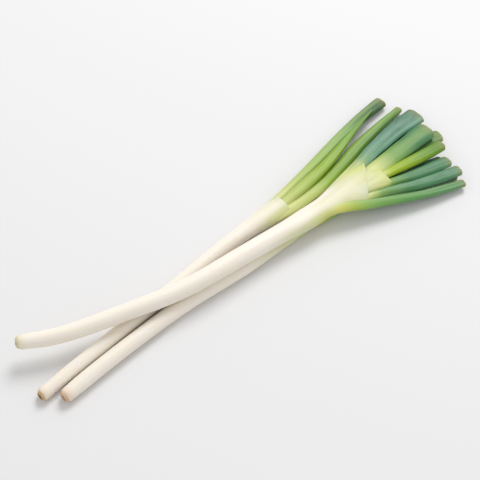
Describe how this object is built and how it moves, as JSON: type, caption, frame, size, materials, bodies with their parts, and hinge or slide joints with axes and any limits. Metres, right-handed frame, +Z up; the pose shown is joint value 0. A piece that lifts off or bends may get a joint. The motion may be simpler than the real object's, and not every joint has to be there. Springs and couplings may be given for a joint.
{
  "type": "bunch of welsh onions",
  "caption": "Bunch of long welsh onions lying loosely crossed, with white shafts, trimmed roots and cut green hollow leaves.",
  "frame": {"origin": "bottom centre of the bunch's box, on the surface that it lies on", "axes": "+X along the onions from the roots to the cut leaf ends, +Z up"},
  "size_m": [0.6011, 0.1738, 0.0393],
  "materials": {
    "shaft_skin": "moist white sheath skin with fine lengthwise veins, satin",
    "outer_leaf": "waxy blue-green leaf with fine lengthwise veins and a thin bloom, satin",
    "young_leaf": "bright yellow-green young leaf, satin",
    "root_plate": "dry fibrous tan root plate with trimmed root stubs, matt"
  },
  "bodies": {
    "root": {"top_onion_root_plate": "root_plate", "top_onion_shaft": "shaft_skin", "top_onion_leaf_1": "outer_leaf", "top_onion_leaf_2": "outer_leaf", "top_onion_leaf_3": "outer_leaf", "top_onion_leaf_4": "outer_leaf", "top_onion_leaf_5": "young_leaf", "top_onion_leaf_6": "young_leaf", "far_onion_root_plate": "root_plate", "far_onion_shaft": "shaft_skin", "far_onion_leaf_1": "outer_leaf", "far_onion_leaf_2": "outer_leaf", "far_onion_leaf_3": "young_leaf", "near_onion_root_plate": "root_plate", "near_onion_shaft": "shaft_skin", "near_onion_leaf_1": "outer_leaf", "near_onion_leaf_2": "outer_leaf", "near_onion_leaf_3": "outer_leaf", "near_onion_leaf_4": "young_leaf"}
  },
  "joints": []
}
